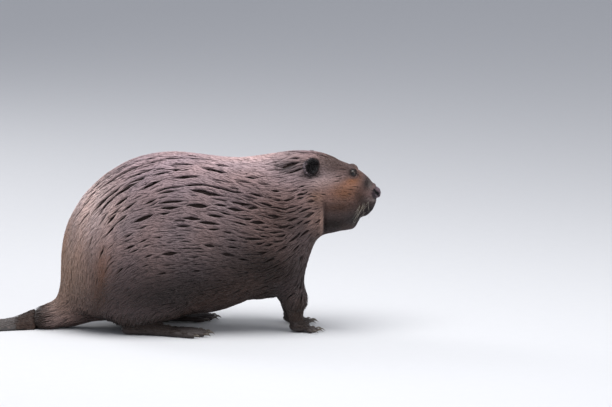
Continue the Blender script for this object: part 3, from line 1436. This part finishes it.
class BEAVER_OT_ears(bpy.types.Operator):
    """Small round ears: a dark bowl full of wet hair, short fur on the back and the rim."""

    bl_idname = "beaver.ears"
    bl_label = "Ears"

    def execute(self, context):
        leather = leather_finish("ear_skin", 0.5, 700.0, 0.2 * MM)
        for name, side in SIDES:
            ear = copy_of(f"ear_{name}_skin", f"ear_{name}")
            remesh(ear, 1.0 * MM, 8)
            centre = on_side(EAR, side)
            axis = np.array(EAR_AXIS) * (1, side, 1)
            self.shape(ear, side)
            points, facing = places(ear), normals(ear)
            tint(ear, mix(self.bowl(points, facing, centre, axis), linear(EAR_SKIN), linear(BOWL_SKIN)))
            settle(ear, "ear_skin", leather, f"ear_{name}")
            self.fur(ear, name, side, centre, axis)
        return {"FINISHED"}

    def shape(self, ear, side):
        """Ripples an ear, lowers its top and lays back its front edge."""
        points = places(ear)
        ripple = 0.9 * MM * waves(points, 0.011, 40 + side)
        front = ease(points[:, 0], EAR.x + 2 * MM, EAR.x + 15 * MM) * fade(points[:, 2], EAR.z, EAR.z + 0.012)
        points[:, 2] -= EAR_LOWERED * np.maximum(points[:, 2] - EAR.z, 0)
        laid_back = front[:, None] * np.array((0.3, 0.9 * side, 0)) * 5 * MM
        move(ear, points + normals(ear) * ripple[:, None] - laid_back)

    def fur(self, ear, name, side, centre, axis):
        """Short fur outside, and longer wet hair in the bowl."""
        hide = Hide(ear)
        maps = unwrap(ear)
        inside = self.bowl(hide.centre, hide.face_normals(), centre, axis)
        count = hide.area / (1.15 * MM) ** 2 * (1 - inside)
        lie_of = self.outward(centre + np.array((-2, -6 * side, -18)) * MM)
        outer = tufts(f"ear_{name}_fur", hide, maps, count, (3.8, 1.1), lie_of, 1.6, self.shades, 21)
        count = hide.area / (1.9 * MM) ** 2 * inside
        lie_of = self.outward(centre + np.array((16, -4 * side, -8)) * MM)
        inner = tufts(f"ear_{name}_hair", hide, maps, count, (7.0, 1.0), lie_of, 3.2, all_in(BOWL_HAIR), 22)
        for piece in (outer, inner):
            settle(piece, "face_coat", bpy.data.materials["guard_hair"])

    def bowl(self, points, facing, centre, axis):
        """1 on the inside of an ear."""
        away = np.linalg.norm(points - centre, axis=1)
        return ease(facing @ axis, 0.0, 0.5) * fade(away, 0.0145, 0.0172)

    def shades(self, roots):
        """Greyish brown behind, dark before."""
        return mix(ease(roots[:, 0], EAR.x - 9 * MM, EAR.x + 5 * MM), linear(EAR_BACK), linear(EAR_FRONT))

    def outward(self, base):
        """A lie of the hair away from one place."""
        return lambda points, facing: along_skin(points - base + np.array((-0.006, 0, 0)), facing)


PAD_CREASE = ((443, 6, 250), (434, 17, 249), (423, 15, 261))  # the fold below the nostril, in mm
PAD_SKIN = (80, 65, 71)
PAD_BLACK = (5, 4, 4)


class BEAVER_OT_nose(bpy.types.Operator):
    """The bare nose pad, with comma-shaped nostrils and a groove between."""

    bl_idname = "beaver.nose"
    bl_label = "Nose"

    def execute(self, context):
        nose = copy_of("nose_pad", "nose")
        remesh(nose, 0.7 * MM, 14)
        points, facing = places(nose), normals(nose)
        away = distance_to_curve(points, *NOSTRIL)
        pit = bell(away, 2.3 * MM)
        crease = bell(distance_to_curve(points, *PAD_CREASE), 1.1 * MM)
        lift = -0.9 * MM * bell(points[:, 1], 1.1 * MM) * fade(points[:, 2], 0.256, 0.264)
        lift += -4.0 * MM * pit + 0.8 * MM * bell(away - 4.4 * MM, 1.5 * MM)
        lift -= 1.3 * MM * crease
        move(nose, points + facing * lift[:, None])
        dark = np.clip(np.maximum(1.7 * pit, 1.1 * crease), 0, 1)
        tint(nose, mix(dark, linear(PAD_SKIN), linear(PAD_BLACK)))
        settle(nose, "nose_skin", leather_finish("nose_skin", 0.3, 1500.0, 0.16 * MM), "nose")
        return {"FINISHED"}


# ---------------------------------------------------------------- feet and claws


FOOT_SKIN = (58, 50, 48)
FOOT_FUR = (56, 45, 40)


class BEAVER_OT_feet(bpy.types.Operator):
    """Webbed hind feet and five-fingered forefeet in scaly dark skin, furred on top."""

    bl_idname = "beaver.feet"
    bl_label = "Feet"

    def execute(self, context):
        leather = leather_finish("foot_skin", 0.5, 420.0, 0.5 * MM)
        for kind, grain in (("hindfoot", 1.8), ("forefoot", 1.3)):
            for name, _ in SIDES:
                node = f"{kind}_{name}"
                foot = copy_of(f"{node}_skin", node)
                remesh(foot, grain * MM, 4)
                heel = 1 - ease(places(foot)[:, 0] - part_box(node)[0].x, 12 * MM, 40 * MM)
                smooth_where(foot, heel, 24)
                points = places(foot)
                points[:, 2] = np.maximum(points[:, 2], 0)
                move(foot, points)
                tint(foot, linear(FOOT_SKIN))
                settle(foot, "foot_skin", leather, node)
                self.fur(foot, node)
        return {"FINISHED"}

    def fur(self, foot, node):
        """Short fur on the top of a foot, as far as the toes."""
        low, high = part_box(node)
        hide = Hide(foot)
        upward = hide.face_normals()[:, 2]
        along = (hide.centre[:, 0] - low.x) / (high.x - low.x)
        count = hide.area / (2.0 * MM) ** 2 * ease(upward, -0.2, 0.3) * (1 - ease(along, 0.35, 0.75))
        maps = unwrap(foot)
        fur = tufts(f"{node}_fur", hide, maps, count, (8, 1.7), self.forward, 1.4, all_in(FOOT_FUR), 31)
        settle(fur, "coat", bpy.data.materials["guard_hair"])

    def forward(self, points, facing):
        return along_skin(np.tile(np.array((1.0, 0, -0.3)), (len(points), 1)), facing)


class BEAVER_OT_claws(bpy.types.Operator):
    """Blunt curved claws, one piece for each foot."""

    bl_idname = "beaver.claws"
    bl_label = "Claws"

    def execute(self, context):
        horn = Finish("claw_horn")
        place = horn.place()
        grain = horn.noise(horn.scaled(place, (60.0, 900.0, 900.0)), 1.0)
        colour = horn.mixed(grain, (0.05, 0.038, 0.028), (0.12, 0.095, 0.07))
        finish = horn.surface({"Base Color": colour, "Roughness": 0.32})
        for kind in ("hindfoot", "forefoot"):
            for name, _ in SIDES:
                nodes = [f"{kind}_{name}_claw_{number}" for number in range(1, 6)]
                piece = rings_piece(f"{kind}_{name}_claws", [self.claw(node) for node in nodes])
                settle(piece, "claw", finish, *nodes)
        return {"FINISHED"}

    def claw(self, node):
        """Rings of a claw that fills its solid: widest just out of the toe, drooping to its point."""
        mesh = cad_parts[node].data
        points = column(mesh.vertices, "co", 3).astype(float)
        middle = points.mean(0)
        along = np.linalg.svd(points - middle)[2][0]
        along *= np.sign(along[0])
        reach = (points - middle) @ along
        across = np.cross((0, 0, 1), along)
        across /= np.linalg.norm(across)
        half = np.abs((points - middle) @ across).max()
        root = points[reach < reach.min() + 1.5 * MM].mean(0)
        tip = points[reach > reach.max() - 1.5 * MM].mean(0)
        t = np.linspace(-0.25, 1, 12)
        line = root + t[:, None] * (tip - root)
        arch = np.sin(np.clip(t, 0, 1) * math.pi) * 0.22 * np.linalg.norm(tip - root)
        line[:, 2] += arch
        size = np.clip(1 - np.clip(t, 0, 1) ** 2.2, 0.06, 1) * (0.85 + 0.15 * ease(t, -0.25, 0.1))
        return tube(line, half * size, half * 0.85 * size, 10)


# ---------------------------------------------------------------- tail

SCALE_PITCH = (5.6 * MM, 8.0 * MM)  # from scale to scale, along and across
# The corners of a scale, along and across, in pitches, and how much longer it is, to overlap the next.
SCALE_CORNERS = ((0.5, 0.17), (0.5, -0.17), (0.0, -0.5), (-0.5, -0.17), (-0.5, 0.17), (0.0, 0.5))
SCALE_OVERLAP = (1.32, 1.0)
SCALE_POINTS = 2 * len(SCALE_CORNERS) + 1
PADDLE_SKIN = (38, 33, 32)
SCALE_COLOUR = (66, 58, 55)
TAIL_FUR = (66, 50, 43)
PADDLE_NECK = 45 * MM  # how far the paddle narrows before the tail's root
PADDLE_NARROWED = 0.08


class BEAVER_OT_tail(bpy.types.Operator):
    """The flat paddle: leathery skin under staggered rows of scales, above and below."""

    bl_idname = "beaver.tail"
    bl_label = "Tail"

    def execute(self, context):
        paddle = copy_of("paddle_skin", "tail_paddle")
        remesh(paddle, 2.2 * MM, 6)
        points = places(paddle)
        points[:, 1] *= 1 - PADDLE_NARROWED * ease(points[:, 0], PADDLE_HIGH.x - PADDLE_NECK, PADDLE_HIGH.x)
        move(paddle, points)
        tint(paddle, linear(PADDLE_SKIN))
        leather = leather_finish("tail_skin", 0.5, 500.0, 0.3 * MM)
        settle(paddle, "tail_skin", leather, "tail_paddle")
        hide = Hide(paddle)
        settle(self.scales(hide), "tail_skin", leather)
        for piece in (self.fringe(paddle, hide), self.cuff(hide)):
            settle(piece, "coat", bpy.data.materials["guard_hair"])
        return {"FINISHED"}

    def backward(self, points, facing):
        """A lie of the hair back to the tail's tip, and outwards."""
        return along_skin(np.tile(np.array((-1.0, 0, 0)), (len(points), 1)) + points * (0, 4, 0), facing)

    def fringe(self, paddle, hide):
        """Short fur on the neck of the paddle."""
        neck = ease(hide.centre[:, 0], PADDLE_HIGH.x - 0.03, PADDLE_HIGH.x - 0.006)
        count = hide.area / (2.0 * MM) ** 2 * neck
        fur = all_in(TAIL_FUR)
        return tufts("paddle_fringe", hide, unwrap(paddle), count, (16, 1.9), self.backward, 2.6, fur, 33)

    def cuff(self, paddle_hide):
        """The last fur of the tail's root, which runs out over the paddle."""
        skin = bpy.data.objects["skin"]
        hide = Hide(skin)
        last = fade(hide.centre[:, 0], PADDLE_HIGH.x + 0.008, PADDLE_HIGH.x + 0.012)
        last *= ease(hide.face_normals()[:, 0], -0.7, -0.3)
        chosen = np.zeros(len(skin.data.polygons), bool)
        chosen[hide.face[last > 0]] = True
        maps = unwrap(skin, chosen)
        count = hide.area / (1.7 * MM) ** 2 * last
        fur = all_in(TAIL_FUR)
        return tufts("tail_cuff", hide, maps, count, (26, 2.0), self.backward, 2.8, fur, 34, paddle_hide)

    def scales(self, hide):
        """Staggered rows of scales above and below."""
        draw = np.random.default_rng(9)
        along, across = SCALE_PITCH
        corner = np.array(SCALE_CORNERS) * SCALE_OVERLAP
        points, faces = [], []
        rows = int((PADDLE_HIGH.x - PADDLE_LOW.x) / along)
        columns = int(PADDLE_HIGH.y / across) + 1
        for face in (1, -1):
            for row in range(rows):
                x = PADDLE_HIGH.x - (row + 0.5) * along
                for step in range(-columns, columns + 1):
                    middle = np.array((x, (step + 0.5 * (row % 2)) * across))
                    middle += draw.uniform(-0.07, 0.07, 2) * SCALE_PITCH
                    self.scale(hide, face, middle, corner * SCALE_PITCH, points, faces)
        piece = shell("paddle_scales", points, faces)
        shades = linear(SCALE_COLOUR)[None] * draw.normal(1, 0.1, (len(points) // SCALE_POINTS, 1))
        tint(piece, np.repeat(shades, SCALE_POINTS, 0))
        return piece

    def scale(self, hide, face, middle, corner, points, faces):
        """One plate: a rim sunk in the skin, a raised inner ring and a slightly higher middle."""
        made = []
        for share, high in ((1.0, -0.2), (0.84, 0.5), (0.0, 0.8)):
            for x, y in middle + corner * share if share else [middle]:
                hit, facing, _, _ = hide.tree.ray_cast(Vector((x, y, 0.1 * face)), Vector((0, 0, -face)))
                if hit is None or facing.z * face < 0.55:
                    return
                place = hit + facing * high * MM
                made.append((place.x, place.y, max(place.z, 0)))
        first, sides = len(points), len(SCALE_CORNERS)
        points.extend(made)
        for k in range(sides):
            after = (k + 1) % sides
            ring = (first + k, first + after, first + sides + after, first + sides + k)
            cap = (first + sides + k, first + sides + after, first + 2 * sides)
            faces.extend((ring[::-1], cap[::-1]) if face > 0 else (ring, cap))


# ---------------------------------------------------------------- panel and registration

PARTS = ("stage", "skin", "coat", "eyes", "whiskers", "ears", "nose", "feet", "claws", "tail")
GROUPS = (("beaver_stage", StageSettings), ("beaver_coat", CoatSettings), ("beaver_face", FaceSettings))


class BEAVER_PT_panel(bpy.types.Panel):
    """Lists the pieces of the beaver in the sidebar."""

    bl_label = "Beaver"
    bl_idname = "BEAVER_PT_panel"
    bl_space_type = "VIEW_3D"
    bl_region_type = "UI"
    bl_category = "Beaver"

    def draw(self, context):
        for part in PARTS:
            self.layout.operator(f"beaver.{part}")
        for name, group_class in GROUPS:
            box = self.layout.box()
            for key in group_class.__annotations__:
                box.prop(getattr(context.scene, name), key)


CLASSES = (
    StageSettings,
    CoatSettings,
    FaceSettings,
    BEAVER_OT_stage,
    BEAVER_OT_skin,
    BEAVER_OT_coat,
    BEAVER_OT_eyes,
    BEAVER_OT_whiskers,
    BEAVER_OT_ears,
    BEAVER_OT_nose,
    BEAVER_OT_feet,
    BEAVER_OT_claws,
    BEAVER_OT_tail,
    BEAVER_PT_panel,
)


def register():
    for one in CLASSES:
        bpy.utils.register_class(one)
    for name, group_class in GROUPS:
        setattr(bpy.types.Scene, name, PointerProperty(type=group_class))


def unregister():
    for name, _ in GROUPS:
        delattr(bpy.types.Scene, name)
    for one in reversed(CLASSES):
        bpy.utils.unregister_class(one)


def main():
    register()
    for part in PARTS:
        getattr(bpy.ops.beaver, part)()


if __name__ == "__main__":
    main()
